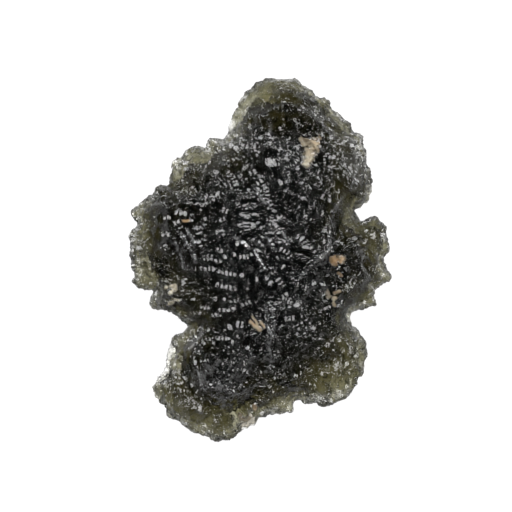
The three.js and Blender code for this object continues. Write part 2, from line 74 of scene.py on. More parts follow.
# Softboxes, all as far from the stone: name, azimuth and elevation in degrees, width and height in metres,
# and radiance. Azimuth 0 is on the +Y side, and 90 on the +X side.
LAMP_DISTANCE = 0.6  # metres
SOFTBOXES = [
    ("key", 0, 33, 0.50, 0.42, 10.0),
    ("fill_right", 100, 40, 0.20, 0.25, 3.5),
    ("fill_left", -100, 40, 0.20, 0.25, 3.5),
    ("low", 180, 48, 0.16, 0.16, 5.0),
]
WALL_GLOW = 0.28
CEILING_GLOW = 0.05
WALL_TOP = (0.05, 0.45)  # the walls fade into the ceiling between these sines of the elevation
TABLE_HALF = 3000.0
TABLE_GREY = 0.15
TABLE_ROUGHNESS = 0.9
TABLE_GAP = 0.02  # under the stone's lowest point

# Glass
IOR = 1.49
ABSORB_COLOUR = (0.60, 0.585, 0.42)
ABSORB_DENSITY = 2700.0
CLOUDS = (0.3, 0.7)  # cloudy noise keeps mostly between these
HAZE_SCALE = 900.0  # patches of slightly duller glass to a metre
BRIGHT_ROUGHNESS = (0.04, 0.12)
DULL_ROUGHNESS = 0.14
RIM_ROUGHNESS = 0.45
RIM_REACH = (0.2, 1.0)  # the rim's roughness gives way to the dull glass's between these distances inward

# The frost, and a darker grey tint along the margins
FROST = 0.29  # the most of the surface that is ground white, along the margins
FROST_REACH = 2.1  # how far inward it goes
FROST_LINE = 0.07  # half the width of a frosted flow line, as a share of the noise that places it
CLEAR_FROST = 0.1  # the share of the frost left on the clear stretches
OFF_LINE_FROST = 0.1  # and between the flow lines
DARK_TINT = (0.42, 0.42, 0.38)  # what the darker tint lets through where it is strongest
DARK_TINT_REACH = (0.3, 2.4)
DARK_TINT_SCALE = 1800.0  # spots of the darker tint to a metre
DARK_TINT_SPOTS = (0.35, 0.6, 0.35, 1.0)  # two marks of their noise, and the tint's share at each
THIN_DARK_TINT = 0.1  # the share of it left on the thin stretches of the rim

# Pits too small for the mesh: how many to a metre, the share of them that are there, depth in metres
GLASS_PITS = [(2500.0, 0.45, 0.00011), (4300.0, 0.4, 0.00006)]
PIT_WALL = (0.2, 0.5)  # from a pit's floor to its rim, as shares of the spacing

# Flecks: lone small flat walls that face the crown, in cells: how many to a metre, and how common they are
FLECKS = [(1150.0, 1.0), (2200.0, 0.8), (3900.0, 0.5)]
FLECK_SHARE = (0.2, 0.8)  # of the cells that have a fleck, and how far that varies from place to place
FLECK_ROUGHNESS = 0.1
FLECK_EDGE = (0.2, 0.34)  # how far a fleck reaches across its cell
FLECK_SLOPE = (0.4, 0.72)
FLECK_LEAN = 0.2
FLECK_WARP = 0.00025  # metres
FLECK_WARP_SCALE = 2500.0
FLECK_MOST = 0.9  # the share at most, before the zones are counted
FLECK_ROWS = (0.5, 1.3)  # none to here from a bead row, and as many as elsewhere from here
FLECK_ZONE_ROWS = (0.4, 0.8)  # the same in the zones
FLECK_CROWN = (13.5, 11.5)  # they give out between these places along Y, towards the crown's end
FLECK_MOTTLE = [(1.3, 1.0), (4.0, 0.5)]  # how far apart they crowd, and how much
FLECK_SIDE = (0.15, 0.4)  # from where the surface faces up by so much, to where it has all its flecks
# Places with more flecks or fewer: x, y, radius and how many more
FLECK_ZONES = [
    (2.3, -5.8, 2.6, 0.6), (4.2, -9.8, 2.6, 0.2), (7.2, 8.2, 2.4, 0.45), (0.6, -14.2, 2.6, 0.25),
    (4.6, -3, 1.8, -0.4), (10.6, -1, 2.4, -0.3), (10.6, 3.4, 1.8, -0.4), (-1.4, -9.8, 2, 0.5),
    (3.6, 9.6, 3.2, 0.1), (-3.4, -15, 2.4, 0.25), (-8.3, -12.6, 2.6, 0.25), (-5.6, -15.6, 2.4, 0.35),
    (2.3, 12.4, 1.7, -0.3), (6.4, 13, 1.6, 0.2), (9.4, 9.6, 2.2, 0.3), (8.4, -9.6, 2.4, 0.2),
    (-8.8, 7, 1.9, -0.6), (0.3, 3.7, 2, -0.3), (-3.6, -13.4, 1.9, 0.35), (6, -5.8, 1.8, 0.3),
    (5.4, 4.6, 1.8, 0.3), (9.8, -8.6, 1.8, -0.3),
]

# The margins' fine flow lines and sugary grain, which fade out inward
FLOW_DEPTH = 0.00009  # metres
FLOW_WIDTH = 0.3  # from one line to the next
FLOW_RUN = 2.0  # how long a line keeps its shape
FLOW_REACH = (1.5, 4.0)
GRAIN_SCALE = 4200.0  # lumps to a metre
GRAIN_DEPTH = 0.00012  # metres
GRAIN_REACH = (1.2, 3.6)
# What the grain does to the roughness, frost and darker tint: two marks of its noise, and the factor at
# each
GRAIN_GLOSS = (0.4, 0.6, 0.55, 1.15)
GRAIN_FROST = (0.38, 0.62, 0.35, 1.7)
GRAIN_DARK_TINT = (0.42, 0.58, 0.25, 1.0)

# The etching that the mesh holds: pits by how far apart they are and how deep
SCOOPS = (1.15, 0.26)
SMALL_PITS = (0.65, 0.1)
MARGIN_PITS = (0.5, 0.17)
MARGIN_PITS_REACH = (3.0, 1.0)
PIT_REACH = 0.8  # a pit's radius, as a share of the spacing
ETCH_LIFT = 0.08  # puts back the mean height that the pits take away
ETCH_WARP = (2.5, 0.35)  # how far apart the pits' rows bend, and by how much
SWELL = 0.12  # height of the swells that follow the outline
SWELL_SIZE = (0.35, 3.0)  # across the margin, and along it
SWELL_REACH = (3.2, 1.6)
ROUGH_GROUND = (0.5, 0.01)  # size and height of the lumps everywhere
CALM = (0.4, 1.3)  # the pits die down from here to here as a bead row comes near
CALM_SHARE = 0.25  # of their depth left at the row

# Mesh, in millimetres: the longest edge along the bead rows, on the top, underneath and on the clay
ROW_EDGE = 0.11
TOP_EDGE = 0.21
UNDER_EDGE = 0.46
CLAY_EDGE = 0.08
DIVISIONS = 4
SMOOTHING = (0.55, -0.57)  # each round pulls in, and then pushes back out
SMOOTHING_ROUNDS = 2
UNDER_TURN = -0.35  # the underside begins where the surface faces up by less than this
TOP_TURN = 0.1  # and the top side where it faces up by more than this
FINE_REACH = 0.35  # how far the shortest edges go from a row's line
FINE_CREST = 0.3  # and how far down a ridge, as a share of its height

# Round patches fade out between these shares of their radius.
WIDE_EDGE = (1.2, 0.6)
ROUND_EDGE = (1.1, 0.5)
HOLLOW_EDGE = (1.0, 0.3)

# Dull glass gives way to bright glass between these distances in from the outline, and it also lies in
# round patches (x, y, radius).
DULL_MARGIN = (0.6, 2.4)
DULL_MOTTLE = [(1.6, 0.9), (0.5, 0.4)]  # bays in the margin: how far apart, and how deep
DULL_PATCH = 0.6  # how dull the patches are
DULL_RAGGED = 0.3  # how ragged their edges are
DULL_UNDER = 0.5  # and the underside, at least
DULL_ROWS = (0.25, 0.6)  # the bead rows are bright to here, and the ground is itself again from here
DULL_PATCHES = [
    (1, 9.7, 0.65), (6.3, 4.8, 0.6), (-1.4, -10.3, 0.8), (-3.9, -9.6, 0.7), (5.4, 0.9, 0.7),
    (-7.5, 1.3, 0.7), (-5, -2.6, 0.5), (-4.6, 2.6, 0.6), (-2.6, 2.4, 0.5),
    (2.8, 8.6, 3), (6.6, 9.2, 3), (-2.4, -10, 2.6), (8.4, 4.5, 1.8), (3.2, -8.6, 2.6),
]

# The smoothing draws the thin rim in by this much, and it is put back. The rim is also pinched unevenly, by
# up to this share of its thickness.
RIM_GROWTH = 0.06
RIM_GROWTH_REACH = (1.2, 0.3)
RIM_PINCH = 0.35
RIM_PINCH_REACH = (1.5, 0.1)  # how far in from the outline it begins, and where it is complete
RIM_MOTTLE = [(1.3, 1.0), (0.6, 1.0)]  # how far apart the pinched places are, and how much they weigh
THIN_PINCH = 0.85  # on the thin stretches
THIN_PINCH_MORE = 0.8  # how much further in it goes there

# Narrow ridges, ground white along their crests
RIDGE_HEIGHT = 0.1
RIDGE_WIDTH = 0.16
RIDGE_REACH = 0.4  # where it has run out on either side
RIDGE_FROST = 0.16
RIDGE_WANDER = (0.8, 0.12)  # how far apart a ridge bends, and by how much
RIDGE_GAPS = (0.7, 0.6)  # how far apart it breaks, and how deeply
RIDGE_SHARE = (0.15, 0.75)  # of its height: the least, and the mean
RIDGE_SIDE = (0.2, 0.5)  # from where the surface faces up by so much, to where a ridge has its full height
RIDGES = [
    [(8.1, 12.4), (8.9, 11.8), (9.7, 10.4), (9.5, 8.6), (8.9, 7.2), (7.7, 5.8), (7.3, 5), (7, 3.4)],
    [(7, 3.4), (6.8, 2.2), (6.7, 0.8), (5.7, 0.2), (4.7, -0.8), (3.9, -1.8)],
    [(10.9, 2.2), (10.4, 1), (10.1, -0.2), (10.6, -2)],
    [(10.3, 3.6), (10.9, 2.4), (11.7, 2.5), (12, 3.6)],
    [(-10.3, -13.2), (-9.3, -14.3), (-8.1, -15.7), (-6.9, -17)],
    [(-5.8, -6.7), (-6.1, -7.8), (-7.1, -9)],
    [(-6.3, -10.7), (-5.9, -12.3), (-4.8, -13.5), (-4.3, -13.7)],
    [(-7.9, 2.6), (-7, 1.2), (-6.4, -0.2)],
    [(-7.3, 3), (-6.6, 1.7)],
    [(-8.6, 1.8), (-7.9, 0.3), (-7.6, -0.9)],
    [(-0.4, -12.5), (-1.8, -13.2), (-3.6, -13.8), (-4.4, -14.3)],
    [(-3.6, -13.8), (-4.1, -15.3), (-4.4, -16.6)],
    [(-1, -9), (-1, -10.6), (-2, -12.4)],
    [(0.5, -4.6), (0.8, -7), (0.9, -9), (1, -11.2)],
    [(1.2, -4.8), (1.3, -7.5)],
    [(-5, -12.2), (-3.9, -13.1), (-3.1, -14.5)],
    [(-4.3, -12), (-3.2, -12.8), (-2.4, -13.9)],
    [(-0.75, 1.1), (0.5, -0.95)],
    [(-0.6, 7.25), (0.4, 5.6)],
    [(0.5, 2.2), (1.5, 1)],
    [(2.1, 2.7), (2.8, 1.5)],
    [(-2.5, 2.2), (-1.2, 1.2)],
    [(0.4, 14.6), (1, 13.4), (0.9, 12.2)],
    [(-0.2, 15.6), (0.3, 14.2)],
    [(5, 15.2), (6.4, 13.4), (7.6, 12.4)],
]

# Patches of the margin that are clear of frost: how clear, and the x, y and radius of each
CLEAR_SHARE = 0.85
CLEAR_PATCHES = [
    (3.2, 15.2, 2.4), (0.6, 15, 2), (-9.6, -12.4, 2), (8.2, -11, 2.6), (7.4, 7.4, 1.2),
    (-8.8, 7, 1.9), (10.7, 3, 2.2), (9.9, -8.5, 1.8), (6.4, 15.4, 1.6), (9.8, -3.2, 1.3),
]

# Hollows of the underside, which let more light through: x, y, radius and depth
UNDER_SIDE = (-0.2, -0.6)  # from where the surface faces up by so much, to where they have their full depth
UNDER_HOLLOWS = [
    (-1.4, 13.8, 1.9, 0.8), (-3, -14.4, 3.2, 1.1), (-10.8, -0.8, 1.8, 0.8), (-1.6, -10.4, 2.2, 0.6),
    (7, 8.6, 2.4, 0.9), (8, -5.6, 1.8, 0.6), (10.2, 6.4, 1.8, 0.8),
    (2, 14.8, 2.4, 0.7), (-3.4, -14.2, 2, 0.5), (-11.2, -13.6, 1.6, 0.6),
]

# Patches of the margin tinted a darker grey still: how far inward they go at most, and where they are
DARKER_REACH = 4
DARKER_PATCHES = [
    (-9, 7, 2), (11.2, 3.2, 2.4), (11.3, -2, 2.4), (9.7, -8.5, 1.8), (6.2, 15.6, 1.9),
    (9.6, 10.6, 1.4), (-12, 4.2, 1.6), (-0.7, 15.8, 1.6),
]

# Stretches of the rim that thin out to clear glass: x, y and radius
THIN_EDGES = [(-9.4, -9.2, 1.3), (-9.9, -11.2, 1.5), (-1.3, -16.6, 1.1), (-3.0, 13.5, 0.9)]

# The ground that falls towards the crown goes down in steps.
TERRACE = 1.25  # from one step to the next
TERRACE_TREAD = 0.74  # the level share of each step
TERRACE_WAY = (0.5, 0.87)  # the steps go down this way
TERRACE_WANDER = (2.5, 0.8)  # how far apart the steps bend, and by how much of a step
TERRACE_MARGIN = (0.3, 1.2)  # they rise to their full height between these distances in from the outline
TERRACE_SIDE = (0.3, 0.5)  # and between these shares of facing up
STEEPEST_FALL = 0.7
LEAST_UP = 0.3  # steeper ground counts as facing up by this much

# Beads: the shallow south walls of small pits, in rows. They slope down towards the crown.
BED = (0.25, 0.7)  # the ground is level this far past a row's sides, and goes its own way from there
LEAST_BED = 12  # the points that levelling a row takes
LEAST_BEAD = 3  # and cutting a bead
BEAD_PITCH = 0.42
BEAD_TILT = (24, 34)  # degrees
BEAD_LEAN = 0.12
BEAD_HOLLOW = 0.022
BEAD_POWER = 4  # of the oblong that bounds a bead: 2 is an ellipse
BEAD_SURROUNDS = 0.01  # what the ground round its wall weighs in its height
BEAD_EDGE = (0.8, 1.3)  # where a bead's wall ends, as shares of its half-sizes
BEAD_POLISH = 0.7  # the share of the fine pits that a bead lacks
BEAD_SEED = 7
BEAD_GAP = 0.025  # the dark line left between two beads in a row along X
BEAD_GAP_TURNED = 3  # how many times that a row along Y has besides


def bed(half, *line, pitch=BEAD_PITCH):
    """A row of beads along a line: its half-width, and from one bead to the next."""
    return {"half": half, "line": np.array(line, float), "pitch": pitch}


BEAD_ROWS = [
    # left shoulder
    bed(0.25, (-9.8, 4.1), (-8.9, 4.3)), bed(0.35, (-8.6, 4.8), (-7.3, 4.6)),
    bed(0.23, (-6.9, 4.7), (-6.85, 4.3)), bed(0.3, (-8.7, 3.6), (-8, 3.9)),
    bed(0.32, (-6.9, 3.15), (-5.7, 3.3)), bed(0.35, (-5.8, 3.7), (-5.3, 3.5)),
    bed(0.3, (-5.7, 4.05), (-5.3, 4.15)), bed(0.25, (-4.2, 3.9), (-3.4, 4.15)),
    bed(0.35, (-3.9, 5.05), (-3.2, 4.8)), bed(0.3, (-10, 2.6), (-9, 2.6)),
    bed(0.19, (-8, 2.2), (-7.4, 2.5)), bed(0.25, (-6.15, 2), (-5.85, 1.2)),
    bed(0.45, (-5.8, 0.3), (-4.7, 0.3)), bed(0.3, (-4.4, 1), (-3.7, 0.9)),
    bed(0.35, (-3.75, 0.35), (-3.3, 0.35)), bed(0.24, (-4.7, 0.05), (-3.7, -0.15)),
    bed(0.3, (-2.8, 0.6), (-2.4, 0.5)), bed(0.32, (-2.2, 0.3), (-1.1, 0.35)),
    bed(0.25, (-6.6, -0.9), (-6.4, -0.9)), bed(0.32, (-6.1, -0.85), (-4.5, -0.9)),
    bed(0.32, (-4.35, -1.1), (-3.4, -1.25), (-2.4, -1.5)), bed(0.3, (-2.1, -1.3), (-1.6, -1.65)),
    bed(0.39, (-4.5, -2.35), (-3.4, -2.7), (-2.3, -2.8)), bed(0.23, (-5.3, -2.8), (-4.9, -2.6)),
    bed(0.25, (-5.1, -3.5), (-4.3, -3.95)), bed(0.25, (-3.8, -3.9), (-3.4, -3.85)),
    bed(0.3, (-3.1, -4.15), (-2, -3.9)), bed(0.3, (-2, -4.45), (-0.9, -4.1)),
    bed(0.19, (-9.6, -4.05), (-7.8, -3.9)), bed(0.19, (-7, -3.9), (-6.4, -3.9)),
    bed(0.26, (-6.1, -4.65), (-5, -4.8)), bed(0.32, (-7.7, -5.4), (-6.8, -5.3), (-5.9, -5.15)),
    bed(0.32, (-8.3, -5.2), (-7.9, -5.3)), bed(0.32, (-4.95, -5.5), (-3.9, -5.35)),
    bed(0.3, (-4.3, -4.9), (-3, -5)), bed(0.23, (-2.9, -4.7), (-2.4, -4.9)),
    bed(0.42, (-3.4, -6.6), (-2.8, -6.6)), bed(0.45, (-2.5, -6.3), (-1.6, -6.45)),
    bed(0.26, (-5.4, -7), (-5, -7)), bed(0.26, (-5.5, -7.9), (-4.6, -7.75), (-3, -7.8), pitch=0.3),
    bed(0.3, (-3, -8.1), (-2.6, -8.2)), bed(0.25, (-5.9, -8.3), (-5.4, -8.2)),
    bed(0.25, (-4.9, -8.2), (-4.5, -8.25)), bed(0.35, (-6.8, -9.1), (-5.9, -9.2)),
    bed(0.23, (-6.9, -9.7), (-6.4, -9.6)), bed(0.32, (-6.8, -10.2), (-6.3, -10.2)),
    bed(0.17, (-6.1, -10.05), (-5, -9.9)), bed(0.32, (-1.5, -8.6), (-0.7, -8.9)),
    # frosted patch below the crown
    bed(0.54, (1, 10.2), (1.1, 9.1), pitch=1.1),
    # middle, from the crown's left down to the right ear
    bed(0.32, (-3.4, 8.85), (-2.7, 8.2), (-2.4, 7.3)),
    bed(0.39, (-2.55, 6), (-2.2, 5.2), pitch=0.22),
    bed(0.39, (-1.6, 5.6), (-1.15, 5.05), pitch=0.3), bed(0.32, (-2, 4.8), (-1.7, 4.3)),
    bed(0.35, (-1.5, 4.5), (-1.15, 4.1)), bed(0.3, (-1.55, 3.8), (-1.25, 2.85), pitch=0.3),
    bed(0.42, (-1.75, 9.4), (-1.4, 9.1)), bed(0.32, (-1.2, 8.6), (-0.4, 8.85)),
    bed(0.32, (-0.1, 8.4), (0.1, 7.9), (-0.5, 7.55)),
    bed(0.3, (0.2, 7.6), (0.5, 7.1), (0.65, 6.5), (0.8, 5.9), (1.2, 5.4), pitch=0.34),
    bed(0.23, (1.1, 5), (1.5, 4.75)),
    bed(0.3, (1, 4.4), (1.4, 3.5), (1.7, 3.1), (1.8, 2.5), pitch=0.34),
    bed(0.25, (-0.8, 5.7), (-0.4, 5.2)), bed(0.19, (0, 2.5), (0.3, 2.1)),
    bed(0.17, (0.8, 2.1), (1.3, 1.4)), bed(0.25, (2, 2.2), (1.8, 1.6)),
    bed(0.19, (2.2, 2), (2.7, 1.4)), bed(0.32, (1.8, 1.2), (2.5, 0.9), (3, 0.2)),
    bed(0.39, (3.4, 2.3), (4, 2.2), (4.4, 1.8), (4.4, 1.1)), bed(0.32, (3.3, 1.3), (3.6, 1.2)),
    bed(0.32, (2, -0.6), (2.4, -0.7)), bed(0.3, (0.9, -0.5), (1.4, -1.4)),
    bed(0.32, (1.5, -1.8), (2.4, -2.7)), bed(0.42, (0.4, -1.7), (0.9, -1.75)),
    bed(0.39, (0.7, -2.2), (1.2, -2.3)), bed(0.32, (-0.6, -1.9), (-0.2, -1.9)),
    bed(0.11, (-0.7, 1), (0.5, -1), pitch=0.5), bed(0.23, (-2, 1.9), (-1.2, 1.3)),
    bed(0.32, (-2.5, 1.7), (-2.1, 1.6)), bed(0.3, (1.1, -5.5), (1.3, -6.2)),
    bed(0.35, (2.3, -5.8), (3.4, -5.7)), bed(0.32, (2.5, -7.4), (3, -7.6)),
    bed(0.25, (2.5, -8.3), (2.7, -8.9)),
]

# Clay
CLAY_THICK = 0.03
CLAY_FULL = 0.5  # how deep inside a smear it has its full height: 0 is its edge, and 1 its middle line
CLAY_SKIRT = -0.3  # how far past the edge its mesh goes
CLAY_NEAR = -3  # how far off the glass counts
CLAY_DIVISIONS = 2
CLAY_SUNK = 0.05  # how far a smear's edge dips into the glass
CLAY_RAGGED = [(0.35, 1.0), (0.16, 1.1)]  # bays in its outline: how far apart, and how deep as shares
CLAY_TRIM = 0.08  # how much less of it there is all round
CLAY_LUMPS = [(0.2, 0.04), (0.1, 0.025)]  # how far apart, and how high
CLAY_TONES = [(0.85, 0.8, 0.68), (0.42, 0.395, 0.31), (0.36, 0.285, 0.19), (0.36, 0.225, 0.11)]
CLAY_MARKS = [0.0, 0.46, 0.84, 1.0]  # where each tone lies between the ends of the warmth
# The warmth goes below 0 only on the smears at -1, and there its whitest tone is painted light.
CLAY_WARMTH = (-0.5, 1.5)
CLAY_ROUGHNESS = (0.8, 1.0)
CLAY_MOTTLE_SCALE = 2600.0  # spots to a metre
CLAY_GRAIN_SCALE = 9000.0
CLAY_GRAIN = 0.00002  # metres


def smear(half, warm, *line):
    """Clay along a line, with its half-width, and its colour from white, -1, by cream, 0, to orange, 1."""
    return {"half": half, "warm": warm, "line": np.array(line, float)}


CLAY_SMEARS = [
    # pocket below the crown
    smear(0.17, 0.15, (3.9, 12.1), (4.5, 11.45)), smear(0.34, 0.35, (4.4, 11.7), (5.2, 11.5)),
    smear(0.52, 0.5, (5.5, 11.75), (5.5, 11.4)), smear(0.48, 0.2, (4.9, 11.2), (4.85, 10.2)),
    smear(0.32, 0.1, (4.7, 10.3), (4.5, 9.6)),
    # right ear
    smear(0.4, 0.8, (7.3, -0.1), (7.7, -0.05)), smear(0.3, 0.6, (7.8, 0.15), (8.1, 0.05)),
    smear(0.15, 0.6, (7.75, -1.3), (7.95, -1.5)),
    smear(0.2, 0.2, (6.6, -3.2), (6.8, -3.6), (7.3, -3.8)), smear(0.12, 0.5, (7.3, -3.3), (7.9, -3.1)),
    smear(0.12, 0.3, (7.2, -4.3), (7.4, -4.55)),
    # middle
    smear(0.1, 0.3, (-0.85, -5.6), (-0.35, -6.3)),
    smear(0.13, 0.6, (-1, -6.1), (-0.5, -6.6), (-0.3, -6.8)), smear(0.13, 0.5, (0, -6.2), (0.3, -6.6)),
    smear(0.2, 0.4, (-0.5, -6.6), (-0.1, -6.8)),
    # lower edge: the smears at -1 are painted nearly white, painted light where this south-facing slope
    # gets too little key light
    smear(0.2, 0.2, (-2.1, -15.5), (-1.9, -16), (-1.4, -16), (-1, -15.6)),
    smear(0.26, -1, (-1.8, -16.4), (-1.2, -16.4), (-0.8, -16)),
    smear(0.14, -1, (-1.1, -15.3), (-0.95, -15.6)), smear(0.16, 0.6, (-0.6, -14.5), (-0.55, -14.9)),
    # left shoulder
    smear(0.22, 0, (-9, -2.6), (-8.6, -2.6), (-8.5, -2.9)), smear(0.15, 0, (-8.9, -3.1), (-9.1, -3.3)),
    smear(0.13, 0, (-9.6, -2.7), (-9.4, -2.7)), smear(0.15, 0, (-9.1, -4.3), (-8.8, -4.25)),
    smear(0.12, 0, (-8.7, -3.9), (-8.2, -4)), smear(0.1, 1, (-7.7, 3.87), (-7.15, 3.92)),
]


# ---- Repeatable noise ----


def hashed(cells, seed):
    """Three numbers from 0 to 1 for each whole-number cell. Odd multipliers scramble the bits."""
    i, j, k = (cells[..., n].astype(np.uint32) for n in range(3))
    out = []
    for n in range(3):
        h = i * np.uint32(374761393) + j * np.uint32(668265263) + k * np.uint32(2147483647)
        h = h + np.uint32(seed * 7919 + n * 104729)
        h = (h ^ (h >> np.uint32(13))) * np.uint32(1274126177)
        h = (h ^ (h >> np.uint32(16))) * np.uint32(2246822519)
        h = h ^ (h >> np.uint32(15))
        out.append(h.astype(np.float64) / 4294967295.0)
    return np.stack(out, -1)


def cell_noise(points, size, seed):
    """How far the nearest of the jumbled cell middles is, in cells."""
    p = points / size
    base = np.floor(p).astype(np.int64)
    nearest = np.full(len(p), np.inf)
    for step in np.ndindex(3, 3, 3):
        cell = base + step - 1
        middle = cell + hashed(cell, seed)
        nearest = np.minimum(nearest, np.linalg.norm(p - middle, axis=1))
    return nearest


def value_noise(points, size, seed):
    """Smooth noise from -1 to 1."""
    p = points / size
    base = np.floor(p).astype(np.int64)
    t = p - base
    t = t * t * (3 - 2 * t)
    total = np.zeros(len(p))
    for corner in np.ndindex(2, 2, 2):
        weight = np.prod(np.where(corner, t, 1 - t), axis=1)
        total += weight * hashed(base + corner, seed)[:, 0]
    return total * 2 - 1


def mottled(points, layers, seed):
    """The sum of several layers of smooth noise, each with its size and its strength."""
    return sum(value_noise(points, size, seed + n) * most for n, (size, most) in enumerate(layers))


# ---- Mesh arrays ----


def solid_arrays(name):
    """A CAD node's welded vertices, in millimetres, and its triangles."""
    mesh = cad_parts[name].data
    mesh.calc_loop_triangles()
    points = np.empty(len(mesh.vertices) * 3)
    mesh.vertices.foreach_get("co", points)
    points = points.reshape(-1, 3) / MM
    triangles = np.empty(len(mesh.loop_triangles) * 3, np.int64)
    mesh.loop_triangles.foreach_get("vertices", triangles)
    _, keep, index = np.unique(np.round(points, 3), axis=0, return_index=True, return_inverse=True)
    triangles = index.reshape(-1)[triangles].reshape(-1, 3)
    whole = (triangles != np.roll(triangles, 1, axis=1)).all(axis=1)
    return points[keep], triangles[whole]


def edges_of(triangles):
    pairs = np.sort(triangles[:, [[0, 1], [1, 2], [2, 0]]].reshape(-1, 2), axis=1)
    return np.unique(pairs, axis=0, return_inverse=True)


def divided(points, triangles, longest):
    """Every edge longer than its own limit is cut at its middle."""
    edges, index = edges_of(triangles)
    ends = points[edges]
    cut = np.linalg.norm(ends[:, 0] - ends[:, 1], axis=1) > longest[edges].min(axis=1)
    middle = np.full(len(edges), -1)
    middle[cut] = len(points) + np.arange(cut.sum())
    points = np.vstack([points, ends[cut].mean(axis=1)])
    middles = middle[index.reshape(-1, 3)]
    cuts = (middles >= 0).sum(axis=1)
    whole = triangles[cuts == 0]

    def turned(rows, place):
        """The triangles with so many cuts, each turned until the given edge comes first."""
        turn = (place[:, None] + np.arange(3)) % 3
        corners = np.take_along_axis(triangles[rows], turn, axis=1)
        return (*corners.T, *np.take_along_axis(middles[rows], turn, axis=1).T)

    one = cuts == 1
    a, b, c, ab, _, _ = turned(one, np.argmax(middles[one] >= 0, axis=1))
    halves = [(a, ab, c), (ab, b, c)]
    two = cuts == 2
    a, b, c, _, bc, ca = turned(two, np.argmax(middles[two] < 0, axis=1))
    thirds = [(a, b, bc), (a, bc, ca), (bc, c, ca)]
    three = cuts == 3
    a, b, c, ab, bc, ca = turned(three, np.zeros(three.sum(), int))
    quarters = [(a, ab, ca), (ab, b, bc), (ca, bc, c), (ab, bc, ca)]
    parts = [np.stack(part, axis=1) for part in halves + thirds + quarters]
    return points, np.concatenate([whole, *parts])


def summed(index, rows, count):
    """The sum of the rows that share an index."""
    return np.stack([np.bincount(index, column, count) for column in rows.T], axis=1)


def smoothed(points, triangles, rounds):
    """Evens out the facets without shrinking the shape: each round pulls in and then pushes back out."""
    edges, _ = edges_of(triangles)
    a, b = edges.T
    count = np.bincount(edges.reshape(-1), minlength=len(points))[:, None]
    for strength in SMOOTHING * rounds:
        total = summed(a, points[b], len(points)) + summed(b, points[a], len(points))
        points = points + strength * (total / count - points)
    return points


def normals_of(points, triangles):
    a, b, c = (points[triangles[:, n]] for n in range(3))
    faces = np.cross(b - a, c - a)
    total = sum(summed(triangles[:, k], faces, len(points)) for k in range(3))
    return total / np.linalg.norm(total, axis=1, keepdims=True)


# ---- The etching ----


def smooth_step(low, high, value):
    t = np.clip((value - low) / (high - low), 0, 1)
    return t * t * (3 - 2 * t)


def beads_of(row):
    """The middle, direction and half-sizes of each bead of a row."""
    line = row["line"]
    half = row["half"]
    steps = np.diff(line, axis=0)
    lengths = np.linalg.norm(steps, axis=1)
    total = lengths.sum()
    count = max(1, round(total / row["pitch"]))
    ends = np.concatenate([[0], np.cumsum(lengths)])
    found = []
    for n in range(count):
        at = (n + 0.5) * total / count
        k = min(np.searchsorted(ends, at, side="right") - 1, len(steps) - 1)
        middle = line[k] + steps[k] * (at - ends[k]) / lengths[k]
        along = steps[k] / lengths[k]
        gap = BEAD_GAP * (1 + BEAD_GAP_TURNED * abs(along[1]))
        found.append((middle, along, (total / count - gap) / 2, half))
    return found


def near_line(places, line, reach):
    """Which places lie within reach of a line, how far off it they are and how far along it."""
    away = np.full(len(places), np.inf)
    along = np.zeros(len(places))
    start = 0.0
    for a, b in zip(line, line[1:]):
        step = b - a
        length = np.linalg.norm(step)
        held = np.clip((places - a) @ step / (step @ step), 0, 1)
        distance = np.linalg.norm(places - a - held[:, None] * step, axis=1)
        closer = distance < away
        away[closer] = distance[closer]
        along[closer] = start + held[closer] * length
        start += length
    near = np.flatnonzero(away < reach)
    return near, away[near], along[near]


def row_distance(points):
    """How far each point lies from the nearest bead row, seen from above."""
    return np.min([near_line(points[:, :2], row["line"], np.inf)[1] for row in BEAD_ROWS], axis=0)


def terraced(points, normals, margin):
    """Turns the ground that falls towards the crown into level treads and short steep risers."""
    way = np.array(TERRACE_WAY)
    up = np.maximum(normals[:, 2], LEAST_UP)
    fall = np.clip(normals[:, :2] @ way / up, 0, STEEPEST_FALL)
    wander = TERRACE_WANDER[1] * value_noise(points, TERRACE_WANDER[0], 51)
    step = points[:, :2] @ way / TERRACE + wander
    step = step - np.floor(step)
    tread = TERRACE_TREAD
    rise = np.where(step < tread, step - tread / 2, tread / 2 - (step - tread) * tread / (1 - tread))
    share = smooth_step(*TERRACE_MARGIN, margin) * smooth_step(*TERRACE_SIDE, normals[:, 2])
    points = points.copy()
    points[:, 2] += share * fall * TERRACE * rise
    return points


def levelled(points, normals):
    """Levels the ground across each row, so that only the row's beads catch the light."""
    points = points.copy()
    top = np.flatnonzero(normals[:, 2] > TOP_TURN)
    for row in BEAD_ROWS:
        near, away, along = near_line(points[top, :2], row["line"], BED[1] + row["half"])
        chosen = top[near]
        if len(chosen) < LEAST_BED:
            continue
        middle = away < BED[0] + row["half"]
        slope = np.polyfit(along[middle], points[chosen[middle], 2], 2)
        share = 1 - smooth_step(BED[0] + row["half"], BED[1] + row["half"], away)
        points[chosen, 2] += share * (np.polyval(slope, along) - points[chosen, 2])
    return points


